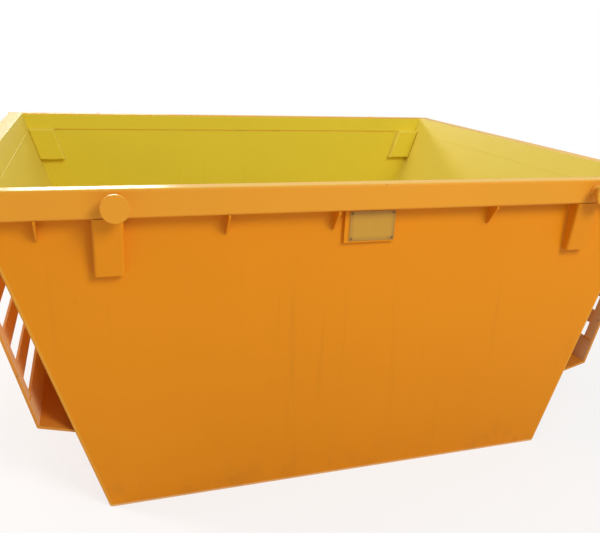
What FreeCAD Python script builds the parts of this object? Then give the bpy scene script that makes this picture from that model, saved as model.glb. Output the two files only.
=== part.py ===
"""Open skip bin: sheet walls under a mitred tube rim, four lifting lugs and a tipping rack at each end."""
import FreeCAD
import Part
import math
import os

# The whole bin, in millimetres: X along the rim, Y across it, Z up from the ground
rim_length = 2300.0
rim_width = 1860.0
bin_height = 1020.0
end_slope_share = 0.309

# Sheets
wall_sheet = 4.0
floor_sheet = 5.0
panel_return = 16.0
panel_fold_radius = 8.0

# Rim tube
rail_height = 80.0
end_rail_top_width = 59.0
rail_wall = 4.0
rail_corner_radius = 8.0
rail_cap = 4.0
side_overhang = 50.0

# Runners under the floor
runner_height = 40.0
runner_width = 60.0
runner_wall = 4.0
runner_spacing = 560.0
runner_end_inset = 30.0
runner_toe = 30.0

# Lifting lugs, with their places as shares of half the rim's length
lug_left_place_share = -0.648
lug_right_place_share = 0.690
lug_pin_shift = 19.0
lug_drop = 42.0
lug_pin_diameter = 44.0
lug_pin_reach = 50.0
lug_head_diameter = 76.0
lug_head_thickness = 12.0
lug_head_bevel = 1.5
lug_hole_clearance = 0.3
lug_weld_leg = 7.0
bracket_width = 82.0
bracket_length = 166.0
bracket_foot_depth = 28.0
bracket_plate = 6.0
bracket_fold_radius = 9.0

# Blocks inside the corners
block_width = 118.0
block_length = 152.0
block_depth = 36.0
block_plate = 5.0
block_drop = 72.0
block_edge_radius = 8.0

# Gussets under the rim, as shares of half the rim's length
gusset_thickness = 6.0
gusset_height = 64.0
gusset_nose = 8.0
gusset_place_shares = (-0.805, -0.364, -0.080, 0.384, 0.805)

# Plate and its holder on the front side
holder_width = 168.0
holder_height = 104.0
holder_sheet = 2.5
holder_stand = 12.0
holder_rail_gap = 4.0
holder_place_share = 0.021
plate_width = 150.0
plate_height = 94.0
plate_thickness = 1.5
plate_shift = 6.0
rivet_diameter = 6.0
rivet_head_height = 1.6
rivet_inset = 8.0

# Tipping rack on each end
rack_foot_height = 300.0
rack_foot_reach = 102.0
rack_rim_inset = 18.0
rack_plate = 8.0
rack_clearance = 2.0
rack_shelf_fall = 30.0
rack_lip = 92.0
rack_head_strip = 88.0
rack_web_plate = 8.0
rack_bend_radius = 6.0
stringer_width = 45.0
slat_width = 50.0
slat_count = 4

# Sizes worked out from those above
half_length = rim_length / 2
half_width = rim_width / 2
slope_angle = math.atan(end_slope_share)
slope_cosine = math.cos(slope_angle)
slope_sine = math.sin(slope_angle)
rim_underside = bin_height - rail_height
panel_outside = half_width - side_overhang
panel_inside = panel_outside - wall_sheet
side_rail_depth = side_overhang + wall_sheet
floor_underside = runner_height
floor_top = floor_underside + floor_sheet
lug_height = bin_height - lug_drop
lug_left_place = lug_left_place_share * half_length
lug_right_place = lug_right_place_share * half_length


def wall_outside(height):
    """X of an end wall's outer face at a height."""
    return half_length - end_rail_top_width - (bin_height - height) * end_slope_share


def wall_inside(height):
    """X of an end wall's inner face at a height."""
    return wall_outside(height) - wall_sheet / slope_cosine


def fold_outside(height):
    """X of the outside of the side sheet's fold round an end wall at a height."""
    return wall_outside(height) + wall_sheet / slope_cosine


rack_foot_outside = wall_outside(rack_foot_height) + rack_foot_reach
rack_rise = rim_underside - rack_foot_height
rack_slope_share = (half_length - rack_rim_inset - rack_foot_outside) / rack_rise
rack_angle = math.atan(rack_slope_share)
rack_cosine = math.cos(rack_angle)
rack_sine = math.sin(rack_angle)
rack_run = rack_rise / rack_cosine
rack_half_width = panel_outside - panel_return - rack_clearance
slat_half_width = rack_half_width - stringer_width
slat_field = rack_run - rack_lip - rack_head_strip
slat_gap = (slat_field - slat_count * slat_width) / (slat_count + 1)


def rack_outside(height):
    """X of the rack's outer face at a height."""
    return rack_foot_outside + (height - rack_foot_height) * rack_slope_share


def rack_inside(height):
    """X of the rack's inner face at a height."""
    return rack_outside(height) - rack_plate / rack_cosine


def prism_along_y(outline, y_start, y_end):
    """Solid with an outline of (x, z) corners, from y_start to y_end."""
    corners = [FreeCAD.Vector(x, y_start, z) for x, z in outline]
    face = Part.Face(Part.makePolygon(corners + corners[:1]))
    return face.extrude(FreeCAD.Vector(0, y_end - y_start, 0))


def prism_along_x(outline, x_start, x_end):
    """Solid with an outline of (y, z) corners, from x_start to x_end."""
    corners = [FreeCAD.Vector(x_start, y, z) for y, z in outline]
    face = Part.Face(Part.makePolygon(corners + corners[:1]))
    return face.extrude(FreeCAD.Vector(x_end - x_start, 0, 0))


def box(low, high):
    """Plain block between two corners."""
    size = [b - a for a, b in zip(low, high)]
    return Part.makeBox(size[0], size[1], size[2], FreeCAD.Vector(*low))


def mirrored_x(shape):
    """The same shape at the other end."""
    return shape.mirror(FreeCAD.Vector(0, 0, 0), FreeCAD.Vector(1, 0, 0))


def mirrored_y(shape):
    """The same shape at the other side."""
    return shape.mirror(FreeCAD.Vector(0, 0, 0), FreeCAD.Vector(0, 1, 0))


def rounded_bar(length, depth, height, radius):
    """Bar along X with its four long edges rounded, from y zero to depth and z zero to height."""
    bar = Part.makeBox(length, depth, height, FreeCAD.Vector(-length / 2, 0, 0))
    edges = [edge for edge in bar.Edges if abs(edge.Length - length) < radius / 2]
    long_edges = [edge for edge in edges if abs(edge.tangentAt(edge.FirstParameter).x) > slope_sine]
    return bar.makeFillet(radius, long_edges)


def rim_tube(length, depth):
    """Box tube along X with rounded corners."""
    outer = rounded_bar(length, depth, rail_height, rail_corner_radius)
    bore_depth = depth - 2 * rail_wall
    bore_height = rail_height - 2 * rail_wall
    bore = rounded_bar(length + 2 * rail_wall, bore_depth, bore_height, rail_corner_radius - rail_wall)
    bore.translate(FreeCAD.Vector(0, rail_wall, rail_wall))
    return outer.cut(bore)


def side_rail():
    """Front rim tube over the whole length, with a hole for each lug pin."""
    tube = rim_tube(rim_length - 2 * rail_cap, side_rail_depth)
    tube.translate(FreeCAD.Vector(0, -half_width, rim_underside))
    hole_radius = lug_pin_diameter / 2 + lug_hole_clearance
    for place in (lug_left_place, lug_right_place):
        start = FreeCAD.Vector(place + lug_pin_shift, -half_width - rail_wall, lug_height)
        hole = Part.makeCylinder(hole_radius, 3 * rail_wall, start, FreeCAD.Vector(0, 1, 0))
        tube = tube.cut(hole)
    return tube


def rail_caps():
    """Plates that close the ends of the front rim tube."""
    caps = []
    for side in (-1, 1):
        cap = rounded_bar(rail_cap, side_rail_depth, rail_height, rail_corner_radius)
        middle = side * (half_length - rail_cap / 2)
        cap.translate(FreeCAD.Vector(middle, -half_width, rim_underside))
        caps.append(cap)
    return Part.makeCompound(caps)


def end_rail():
    """Right-hand rim tube between the side tubes, its inner side in line with the sloping wall."""
    outer = [
        (wall_inside(rim_underside), rim_underside),
        (half_length, rim_underside),
        (half_length, bin_height),
        (wall_inside(bin_height), bin_height),
    ]
    low = rim_underside + rail_wall
    high = bin_height - rail_wall
    inner = [
        (wall_inside(low) + rail_wall / slope_cosine, low),
        (half_length - rail_wall, low),
        (half_length - rail_wall, high),
        (wall_inside(high) + rail_wall / slope_cosine, high),
    ]
    span = half_width - side_rail_depth
    tube = prism_along_y(outer, -span, span)
    tube = tube.makeFillet(rail_corner_radius, [edge for edge in tube.Edges if on_outer_corner(edge)])
    bore = prism_along_y(inner, -span - rail_wall, span + rail_wall)
    bore_radius = rail_corner_radius - rail_wall
    bore = bore.makeFillet(bore_radius, [edge for edge in bore.Edges if on_outer_corner(edge)])
    return tube.cut(bore)


def on_outer_corner(edge):
    """Whether an edge is one of the long outer corners of the end tube."""
    corner = edge.Vertexes[0]
    return abs(corner.X - half_length) < 2 * rail_wall and edge.Length > half_width


def side_panel():
    """Front side sheet: a trapezoid whose sloping edges are folded back over the end walls."""
    outline = [
        (-fold_outside(0), 0),
        (fold_outside(0), 0),
        (fold_outside(rim_underside), rim_underside),
        (-fold_outside(rim_underside), rim_underside),
    ]
    sheet = prism_along_y(outline, -panel_outside, -panel_outside + panel_return)
    sheet = sheet.makeFillet(panel_fold_radius, [edge for edge in sheet.Edges if on_panel_fold(edge)])
    pocket = [
        (-wall_outside(-wall_sheet), -wall_sheet),
        (wall_outside(-wall_sheet), -wall_sheet),
        (wall_outside(bin_height), bin_height),
        (-wall_outside(bin_height), bin_height),
    ]
    return sheet.cut(prism_along_y(pocket, -panel_inside, 0))


def on_panel_fold(edge):
    """Whether an edge is one of the side sheet's sloping outer edges."""
    low, high = sorted(vertex.Z for vertex in edge.Vertexes)
    outside = all(abs(vertex.Y + panel_outside) < panel_fold_radius for vertex in edge.Vertexes)
    return outside and high - low > rim_underside / 2


def end_panel():
    """Right-hand end sheet, sloping outwards from the floor to the rim."""
    outline = [
        (wall_inside(floor_underside), floor_underside),
        (wall_outside(floor_underside), floor_underside),
        (wall_outside(rim_underside), rim_underside),
        (wall_inside(rim_underside), rim_underside),
    ]
    return prism_along_y(outline, -panel_inside, panel_inside)


def floor_plate():
    """Floor sheet between the walls, its ends cut to their slope."""
    low = wall_inside(floor_underside)
    high = wall_inside(floor_top)
    outline = [(-low, floor_underside), (low, floor_underside), (high, floor_top), (-high, floor_top)]
    return prism_along_y(outline, -panel_inside, panel_inside)


def runner(place):
    """Box tube under the floor with its ends cut up like a sledge's."""
    half = wall_outside(0) - runner_end_inset
    flat = half - runner_toe
    side = runner_width / 2
    outline = [(-flat, 0), (flat, 0), (half, runner_height), (-half, runner_height)]
    outer = prism_along_y(outline, place - side, place + side)
    bore_low = (-half_length, place - side + runner_wall, runner_wall)
    bore_high = (half_length, place + side - runner_wall, runner_height - runner_wall)
    return outer.cut(box(bore_low, bore_high))


def lug_pin(x):
    """Front lug pin, from the back of the tube out to its head, with its weld bead."""
    y_back = -half_width + side_rail_depth - rail_wall
    y_head = -half_width - lug_pin_reach + lug_head_thickness
    radius = lug_pin_diameter / 2
    outwards = FreeCAD.Vector(0, -1, 0)
    pin = Part.makeCylinder(radius, y_back - y_head, FreeCAD.Vector(x, y_back, lug_height), outwards)
    foot = FreeCAD.Vector(x, -half_width, lug_height)
    bead = Part.makeCone(radius + lug_weld_leg, radius, lug_weld_leg, foot, outwards)
    return pin.fuse(bead).removeSplitter()


def lug_head(x):
    """Round head that keeps a lifting ring on the pin."""
    y_inner = -half_width - lug_pin_reach + lug_head_thickness
    start = FreeCAD.Vector(x, y_inner, lug_height)
    head = Part.makeCylinder(lug_head_diameter / 2, lug_head_thickness, start, FreeCAD.Vector(0, -1, 0))
    rims = [edge for edge in head.Edges if edge.Closed]
    return head.makeChamfer(lug_head_bevel, rims)


def lug_bracket(x):
    """Tapered box of folded plate under the rim at a lug, open towards the side sheet."""
    side = bracket_width / 2
    foot = rim_underside - bracket_length
    y_face = -panel_outside
    outer = [
        (y_face, rim_underside),
        (y_face - side_overhang, rim_underside),
        (y_face - bracket_foot_depth, foot),
        (y_face, foot),
    ]
    inner = [
        (y_face, rim_underside),
        (y_face - side_overhang + bracket_plate, rim_underside),
        (y_face - bracket_foot_depth + bracket_plate, foot + bracket_plate),
        (y_face, foot + bracket_plate),
    ]
    shell = prism_along_x(outer, x - side, x + side)
    shell = shell.makeFillet(bracket_fold_radius, [edge for edge in shell.Edges if on_bracket_fold(edge)])
    return shell.cut(prism_along_x(inner, x - side + bracket_plate, x + side - bracket_plate))


def on_bracket_fold(edge):
    """Whether an edge is one of the bracket's two long folds."""
    low, high = sorted(vertex.Z for vertex in edge.Vertexes)
    in_front = all(vertex.Y < -panel_outside - bracket_plate for vertex in edge.Vertexes)
    return in_front and high - low > bracket_length / 2


def corner_block():
    """Folded box in a corner, on the side sheet's inner face, leaning with the end wall."""
    z_high = bin_height - block_drop
    z_low = z_high - block_length
    y_face = -panel_inside
    y_front = y_face + block_depth
    outer = [
        (wall_inside(z_low) - block_width, z_low),
        (wall_inside(z_low), z_low),
        (wall_inside(z_high), z_high),
        (wall_inside(z_high) - block_width, z_high),
    ]
    block = prism_along_y(outer, y_face, y_front)
    edges = [edge for edge in block.Edges if all(abs(v.Y - y_front) < block_plate for v in edge.Vertexes)]
    block = block.makeFillet(block_edge_radius, edges)
    side = block_plate / slope_cosine
    low = z_low + block_plate
    high = z_high - block_plate
    inner = [
        (wall_inside(low) - block_width + side, low),
        (wall_inside(low) - side, low),
        (wall_inside(high) - side, high),
        (wall_inside(high) - block_width + side, high),
    ]
    return block.cut(prism_along_y(inner, y_face, y_front - block_plate))


def gusset(place):
    """Thin triangular plate between the rim's underside and the side sheet."""
    y_face = -panel_outside
    outline = [
        (y_face, rim_underside),
        (y_face - side_overhang, rim_underside),
        (y_face - side_overhang, rim_underside - gusset_nose),
        (y_face - gusset_nose, rim_underside - gusset_height),
        (y_face, rim_underside - gusset_height),
    ]
    return prism_along_x(outline, place - gusset_thickness / 2, place + gusset_thickness / 2)


def gussets():
    """All gussets of the front side."""
    return Part.makeCompound([gusset(share * half_length) for share in gusset_place_shares])


def holder_places():
    """Centre X, underside and top of the plate holder."""
    top = rim_underside - holder_rail_gap
    return holder_place_share * half_length, top - holder_height, top


def plate_holder():
    """Shallow folded tray that holds the plate off the side sheet."""
    centre, low, high = holder_places()
    side = holder_width / 2
    y_face = -panel_outside
    y_front = y_face - holder_stand
    tray = box((centre - side, y_front, low), (centre + side, y_face, high))
    hollow_low = (centre - side + holder_sheet, y_front + holder_sheet, low + holder_sheet)
    hollow_high = (centre + side - holder_sheet, y_face, high - holder_sheet)
    return tray.cut(box(hollow_low, hollow_high))


def plate_box():
    """Low and high corners of the blank plate."""
    centre, low, high = holder_places()
    middle = (low + high) / 2
    x_middle = centre + plate_shift
    y_back = -panel_outside - holder_stand
    low_corner = (x_middle - plate_width / 2, y_back - plate_thickness, middle - plate_height / 2)
    high_corner = (x_middle + plate_width / 2, y_back, middle + plate_height / 2)
    return low_corner, high_corner


def data_plate():
    """Blank plate on the holder."""
    low, high = plate_box()
    return box(low, high)


def plate_rivets():
    """Domed rivet heads at the plate's corners."""
    low, high = plate_box()
    heads = []
    for x in (low[0] + rivet_inset, high[0] - rivet_inset):
        for z in (low[2] + rivet_inset, high[2] - rivet_inset):
            start = FreeCAD.Vector(x, low[1], z)
            outwards = FreeCAD.Vector(0, -1, 0)
            base = rivet_diameter / 2
            head = Part.makeCone(base, base / 2, rivet_head_height, start, outwards)
            heads.append(head)
    return Part.makeCompound(heads)


def rack_height(run):
    """Height of a place on the rack, a run up its slope from its foot."""
    return rack_foot_height + run * rack_cosine


def level_strip(z_low, z_high, y_start, y_end):
    """Part of the rack's plane between two level cuts."""
    outline = [
        (rack_inside(z_low), z_low),
        (rack_outside(z_low), z_low),
        (rack_outside(z_high), z_high),
        (rack_inside(z_high), z_high),
    ]
    return prism_along_y(outline, y_start, y_end)


def rack_shelf():
    """Folded foot of the rack: a shelf that falls towards the end wall, with an upturned lip."""
    z_wall = rack_foot_height - rack_shelf_fall
    z_lip = rack_height(rack_lip)
    z_fold = rack_foot_height + rack_plate
    outline = [
        (wall_outside(z_wall), z_wall),
        (rack_outside(rack_foot_height), rack_foot_height),
        (rack_outside(z_lip), z_lip),
        (rack_inside(z_lip), z_lip),
        (rack_inside(z_fold), z_fold),
        (wall_outside(z_wall + rack_plate), z_wall + rack_plate),
    ]
    shelf = prism_along_y(outline, -rack_half_width, rack_half_width)
    return shelf.makeFillet(rack_bend_radius, [edge for edge in shelf.Edges if on_fold(edge)])


def on_fold(edge):
    """Whether an edge is the shelf's outer bottom fold."""
    corner = edge.Vertexes[0]
    near_x = abs(corner.X - rack_outside(rack_foot_height)) < rack_plate / 2
    near_z = abs(corner.Z - rack_foot_height) < rack_plate / 2
    return near_x and near_z and edge.Length > rack_half_width


def rack_stringer(side):
    """Upright flat bar at one edge of the rack, from the lip to the rim's underside."""
    inner = side * slat_half_width
    outer = side * rack_half_width
    return level_strip(rack_height(rack_lip), rim_underside, min(inner, outer), max(inner, outer))


def rack_slat(index):
    """One flat bar across the rack, counted from the bottom."""
    run_low = rack_lip + slat_gap + index * (slat_width + slat_gap)
    corners = []
    for run, inwards in ((0, rack_plate), (0, 0), (slat_width, 0), (slat_width, rack_plate)):
        up = run_low + run
        x = rack_foot_outside + up * rack_sine - inwards * rack_cosine
        z = rack_height(up) + inwards * rack_sine
        corners.append((x, z))
    return prism_along_y(corners, -slat_half_width, slat_half_width)


def rack_head():
    """Flat bar across the top of the rack, cut level under the rim."""
    z_low = rack_height(rack_run - rack_head_strip)
    return level_strip(z_low, rim_underside, -slat_half_width, slat_half_width)


def rack_web():
    """Upright plate between the end wall and the middle of the rack."""
    z_rack = rack_foot_height + rack_plate
    z_wall = z_rack - rack_shelf_fall
    outline = [
        (wall_outside(z_wall), z_wall),
        (rack_inside(z_rack), z_rack),
        (rack_inside(rim_underside), rim_underside),
        (wall_outside(rim_underside), rim_underside),
    ]
    return prism_along_y(outline, -rack_web_plate / 2, rack_web_plate / 2)


def shell_pieces():
    """Sheets, rim tubes, runners and gussets."""
    pieces = {
        "floor_plate": floor_plate(),
        "front_side_panel": side_panel(),
        "rear_side_panel": mirrored_y(side_panel()),
        "right_end_panel": end_panel(),
        "left_end_panel": mirrored_x(end_panel()),
        "front_rim_rail": side_rail(),
        "rear_rim_rail": mirrored_y(side_rail()),
        "front_rim_caps": rail_caps(),
        "rear_rim_caps": mirrored_y(rail_caps()),
        "right_rim_rail": end_rail(),
        "left_rim_rail": mirrored_x(end_rail()),
        "front_rim_gussets": gussets(),
        "rear_rim_gussets": mirrored_y(gussets()),
    }
    for name, place in (("front", -runner_spacing), ("middle", 0), ("rear", runner_spacing)):
        pieces[name + "_runner"] = runner(place)
    return pieces


def lug_pieces():
    """Pin, head, bracket and corner block at each of the four corners."""
    block = corner_block()
    pieces = {"front_right_corner_block": block, "front_left_corner_block": mirrored_x(block)}
    for side, place in (("left", lug_left_place), ("right", lug_right_place)):
        pieces["front_" + side + "_lug_pin"] = lug_pin(place + lug_pin_shift)
        pieces["front_" + side + "_lug_head"] = lug_head(place + lug_pin_shift)
        pieces["front_" + side + "_lug_bracket"] = lug_bracket(place)
    for name, shape in list(pieces.items()):
        pieces[name.replace("front", "rear")] = mirrored_y(shape)
    return pieces


def plate_pieces():
    """Blank plate, its holder and its rivets."""
    return {"plate_holder": plate_holder(), "data_plate": data_plate(), "plate_rivets": plate_rivets()}


def rack_pieces():
    """The tipping rack on each end."""
    right = {
        "rack_shelf": rack_shelf(),
        "rack_front_stringer": rack_stringer(-1),
        "rack_rear_stringer": rack_stringer(1),
        "rack_head_bar": rack_head(),
        "rack_web": rack_web(),
    }
    for index in range(slat_count):
        right["rack_slat_%d" % (index + 1)] = rack_slat(index)
    pieces = {}
    for name, shape in right.items():
        pieces["right_" + name] = shape
        pieces["left_" + name] = mirrored_x(shape)
    return pieces


def main():
    """Builds every piece and writes each to its own file."""
    os.makedirs("parts", exist_ok=True)
    pieces = {}
    for group in (shell_pieces(), lug_pieces(), plate_pieces(), rack_pieces()):
        pieces.update(group)
    for name, shape in pieces.items():
        shape.exportStep(os.path.join("parts", name + ".step"))
    print(len(pieces), "pieces written")


main()
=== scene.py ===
"""Finishes a packed open skip bin: painted steel, weld seams, a bare plate and a pale studio.

The frame's own pieces keep their shapes and get their paint here. What is built here is the trim
that sits on them: weld seams with their ripples, the plate with its raised border, its rivets.
Sizes are in metres. Front is -Y, where the plate is, and a rack stands at each X end.
"""
import math

import bmesh
import bpy
from bpy.props import FloatProperty, FloatVectorProperty, IntProperty, PointerProperty
from mathutils import Matrix, Vector


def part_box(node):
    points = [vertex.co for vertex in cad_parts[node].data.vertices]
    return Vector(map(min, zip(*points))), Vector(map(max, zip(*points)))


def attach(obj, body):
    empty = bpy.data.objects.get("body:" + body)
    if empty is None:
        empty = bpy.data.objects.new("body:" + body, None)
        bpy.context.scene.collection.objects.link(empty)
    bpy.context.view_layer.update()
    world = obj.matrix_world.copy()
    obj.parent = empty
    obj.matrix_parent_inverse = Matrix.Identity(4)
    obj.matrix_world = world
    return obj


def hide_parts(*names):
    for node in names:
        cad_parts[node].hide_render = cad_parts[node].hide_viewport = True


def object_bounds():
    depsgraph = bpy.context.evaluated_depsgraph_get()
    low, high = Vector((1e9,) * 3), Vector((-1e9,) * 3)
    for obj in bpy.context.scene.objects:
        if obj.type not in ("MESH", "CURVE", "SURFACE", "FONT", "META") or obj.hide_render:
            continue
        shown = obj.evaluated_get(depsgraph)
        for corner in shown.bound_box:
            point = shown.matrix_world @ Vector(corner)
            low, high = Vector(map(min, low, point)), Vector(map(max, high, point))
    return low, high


bl_info = {
    "name": "Skip bin finish",
    "version": (1, 0, 0),
    "blender": (4, 5, 0),
    "location": "3D View > Sidebar > Skip bin",
    "description": "Paints an open skip bin, lays its weld seams and sets it in a pale studio",
    "category": "Object",
}

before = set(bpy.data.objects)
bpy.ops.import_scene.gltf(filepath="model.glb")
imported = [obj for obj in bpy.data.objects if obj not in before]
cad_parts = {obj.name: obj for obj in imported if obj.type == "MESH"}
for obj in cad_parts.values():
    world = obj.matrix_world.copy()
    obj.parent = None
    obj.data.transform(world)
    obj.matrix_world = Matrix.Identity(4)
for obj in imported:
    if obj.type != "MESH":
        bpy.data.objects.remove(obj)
CAD_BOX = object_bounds()
BODY = "root"
MM = 0.001

# Corners nearer than the first, and merged vertices nearer than the second, are at one place.
SAME_PLACE = 0.1 * MM
SAME_VERTEX = 0.001 * MM


def srgb(red, green, blue):
    """Linear colour of a paint written as 0 to 255 screen values."""
    def linear(value):
        share = value / 255
        return share / 12.92 if share <= 0.04045 else ((share + 0.055) / 1.055) ** 2.4
    return linear(red), linear(green), linear(blue)


def reach_at(node, height):
    """Farthest X among a node's corners that lie at a height."""
    corners = [vertex.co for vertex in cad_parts[node].data.vertices]
    return max(corner.x for corner in corners if abs(corner.z - height) < SAME_PLACE)


class SlopingFace:
    """Outer face of a sheet or bar that leans outwards at the right-hand end."""

    def __init__(self, node):
        low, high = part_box(node)
        self.low = low.z
        self.high = high.z
        self.foot = reach_at(node, self.low)
        self.slope = (reach_at(node, self.high) - self.foot) / (self.high - self.low)
        self.sine = math.sin(math.atan(self.slope))
        self.cosine = math.cos(math.atan(self.slope))
        self.thickness = (self.foot - low.x) * self.cosine

    def x(self, height, behind=0.0):
        """X of the face at a height, or of a face parallel to it, a thickness behind it."""
        return self.foot + (height - self.low) * self.slope - behind / self.cosine

    def height(self, x):
        """Height at which the face reaches an X."""
        return self.low + (x - self.foot) / self.slope


class BinPlaces:
    """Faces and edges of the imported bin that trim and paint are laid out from."""

    def __init__(self):
        rail_low, rail_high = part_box("front_rim_rail")
        sheet_low, sheet_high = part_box("front_side_panel")
        floor_low, floor_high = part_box("floor_plate")
        stringer_low, stringer_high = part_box("right_rack_front_stringer")
        self.wall = SlopingFace("right_end_panel")
        self.rack = SlopingFace("right_rack_front_stringer")
        self.rim_top = rail_high.z
        self.rim_underside = rail_low.z
        self.rim_front = -rail_low.y
        self.rim_end = CAD_BOX[1].x
        self.sheet_outside = -sheet_low.y
        self.sheet_inside = -rail_high.y
        self.return_edge = -sheet_high.y
        self.floor_top = floor_high.z
        self.floor_underside = floor_low.z
        self.rack_edge = -stringer_low.y
        self.stringer_edge = -stringer_high.y


PLACES = BinPlaces()


class SkipPaintSettings(bpy.types.PropertyGroup):
    """Colours and wear of the painted steel."""

    outside_colour: FloatVectorProperty(
        name="Outside paint", description="Paint on the outside of the bin", subtype="COLOR",
        size=3, min=0, max=1, default=srgb(221, 136, 19))
    # Painted light: the inside paint is yellower than the outside to stand in for the sky's
    # reflection and the light bounced between the inner walls.
    inside_sky_tinted_colour: FloatVectorProperty(
        name="Inside paint", description="Paint on the inside of the bin", subtype="COLOR",
        size=3, min=0, max=1, default=srgb(231, 210, 62))
    rack_colour: FloatVectorProperty(
        name="Rack paint", description="Dull paint on the tipping racks", subtype="COLOR",
        size=3, min=0, max=1, default=srgb(222, 144, 48))
    # Painted light on faces that slope up, and the paler lower edge.
    painted_light_and_edge_colour: FloatVectorProperty(
        name="Scuffed paint", description="Pale film on sloping faces and the scuffed lower edge",
        subtype="COLOR", size=3, min=0, max=1, default=srgb(240, 202, 150))
    # A paler tone on the rim, and a painted highlight along the sheets' sloping folds.
    rim_pale_and_fold_highlight_colour: FloatVectorProperty(
        name="Faded paint", description="Paint on the rim where the sun has bleached it",
        subtype="COLOR", size=3, min=0, max=1, default=srgb(238, 205, 97))
    primer_colour: FloatVectorProperty(
        name="Primer", description="Primer and bare steel that show in chips", subtype="COLOR",
        size=3, min=0, max=1, default=srgb(98, 74, 58))
    grime_colour: FloatVectorProperty(
        name="Grime", description="Dirt that gathers low down and in corners", subtype="COLOR",
        size=3, min=0, max=1, default=srgb(132, 86, 40))
    # Dust on faces that look up, together with a painted highlight that makes the tops brighter.
    dust_and_top_light_colour: FloatVectorProperty(
        name="Dust", description="Dry dust on faces that look up", subtype="COLOR",
        size=3, min=0, max=1, default=srgb(255, 222, 92))
    wear: FloatProperty(
        name="Wear", description="How much of the edges is chipped", subtype="FACTOR",
        min=0, max=1, default=0.40)
    roughness: FloatProperty(
        name="Roughness", description="Roughness of clean paint", subtype="FACTOR",
        min=0, max=1, default=0.40)


class SkipWeldSettings(bpy.types.PropertyGroup):
    """Sizes of the weld seams."""

    long_radius: FloatProperty(
        name="Long seams", description="Radius of the seams between the sheets",
        subtype="DISTANCE", unit="LENGTH", min=0.001, max=0.01, default=4.0 * MM)
    short_radius: FloatProperty(
        name="Short seams", description="Radius of the seams round brackets, bars and gussets",
        subtype="DISTANCE", unit="LENGTH", min=0.001, max=0.01, default=3.0 * MM)
    flush_radius: FloatProperty(
        name="Flush seams", description="Radius of the seams that are ground almost flush",
        subtype="DISTANCE", unit="LENGTH", min=0.0005, max=0.01, default=0.8 * MM)
    ripple: FloatProperty(
        name="Ripple", description="Distance from one ripple of a seam to the next",
        subtype="DISTANCE", unit="LENGTH", min=0.004, max=0.03, default=9.0 * MM)
    sides: IntProperty(
        name="Sides", description="Sides of a seam's cross-section", min=5, max=16, default=8)


class SkipPlateSettings(bpy.types.PropertyGroup):
    """Colours and sizes of the bare plate and its rivets."""

    plate_colour: FloatVectorProperty(
        name="Plate", description="Face of the bare plate", subtype="COLOR",
        size=3, min=0, max=1, default=srgb(196, 145, 34))
    rivet_colour: FloatVectorProperty(
        name="Rivets", description="Rivet metal", subtype="COLOR",
        size=3, min=0, max=1, default=srgb(128, 98, 56))
    border: FloatProperty(
        name="Border", description="Width of the plate's raised border", subtype="DISTANCE",
        unit="LENGTH", min=0.001, max=0.02, default=3.5 * MM)
    border_height: FloatProperty(
        name="Border height", description="Height of the raised border", subtype="DISTANCE",
        unit="LENGTH", min=0.0001, max=0.002, default=0.5 * MM)
    corner: FloatProperty(
        name="Corner", description="Radius of the plate's corners", subtype="DISTANCE",
        unit="LENGTH", min=0.001, max=0.02, default=5.0 * MM)


class SkipStudioSettings(bpy.types.PropertyGroup):
    """Camera, lamps and floor."""

    camera_place: FloatVectorProperty(
        name="Camera place", description="Where the camera stands", subtype="TRANSLATION",
        unit="LENGTH", size=3, default=(-0.7784, -2.6610, 1.3926))
    camera_heading: FloatProperty(
        name="Heading", description="Turn of the camera to the right of +Y", subtype="ANGLE",
        unit="ROTATION", default=0.3182)
    camera_tilt: FloatProperty(
        name="Tilt", description="Tilt of the camera below level", subtype="ANGLE",
        unit="ROTATION", default=0.3250)
    camera_roll: FloatProperty(
        name="Roll", description="Roll of the camera", subtype="ANGLE", unit="ROTATION",
        default=0.0465)
    camera_lens: FloatProperty(
        name="Lens", description="Focal length in millimetres on a 36 mm wide sensor",
        min=10, max=200, default=39.22)
    key_power: FloatProperty(
        name="Key power", description="Power of the key lamp in watts", min=0, default=110)
    side_power: FloatProperty(
        name="Side power", description="Power of the side lamp in watts", min=0, default=100)
    fill_power: FloatProperty(
        name="Fill power", description="Power of the front fill in watts", min=0, default=175)
    sky_strength: FloatProperty(
        name="Sky strength", description="Strength of the even light all round",
        min=0, max=2, default=0.45)
    floor_colour: FloatVectorProperty(
        name="Floor", description="Pale studio floor", subtype="COLOR",
        size=3, min=0, max=1, default=(0.90, 0.90, 0.89))


class Value:
    """A socket in a node tree; arithmetic on it adds Math nodes."""

    def __init__(self, shading, socket):
        self.shading = shading
        self.socket = socket

    def math(self, operation, *others):
        """Result of a Math node on this value and the others."""
        sockets = dict(enumerate((self, *others)))
        return self.shading.node("ShaderNodeMath", {"operation": operation}, sockets)

    def __add__(self, other):
        return self.math("ADD", other)

    __radd__ = __add__

    def __mul__(self, other):
        return self.math("MULTIPLY", other)

    __rmul__ = __mul__

    def __sub__(self, other):
        return self.math("SUBTRACT", other)

    def __rsub__(self, other):
        return self.shading.node("ShaderNodeMath", {"operation": "SUBTRACT"}, {0: other, 1: self})

    def __abs__(self):
        return self.math("ABSOLUTE")

    def rise(self, low, high):
        """Zero up to low, one from high on, smooth between."""
        settings = {"interpolation_type": "SMOOTHSTEP"}
        return self.shading.node("ShaderNodeMapRange", settings, {0: self, 1: low, 2: high})

    def fall(self, low, high):
        """One up to low, zero from high on, smooth between."""
        return 1 - self.rise(low, high)

    def most(self, limit):
        """This value, held down to a limit."""
        return self.math("MINIMUM", limit)


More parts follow.
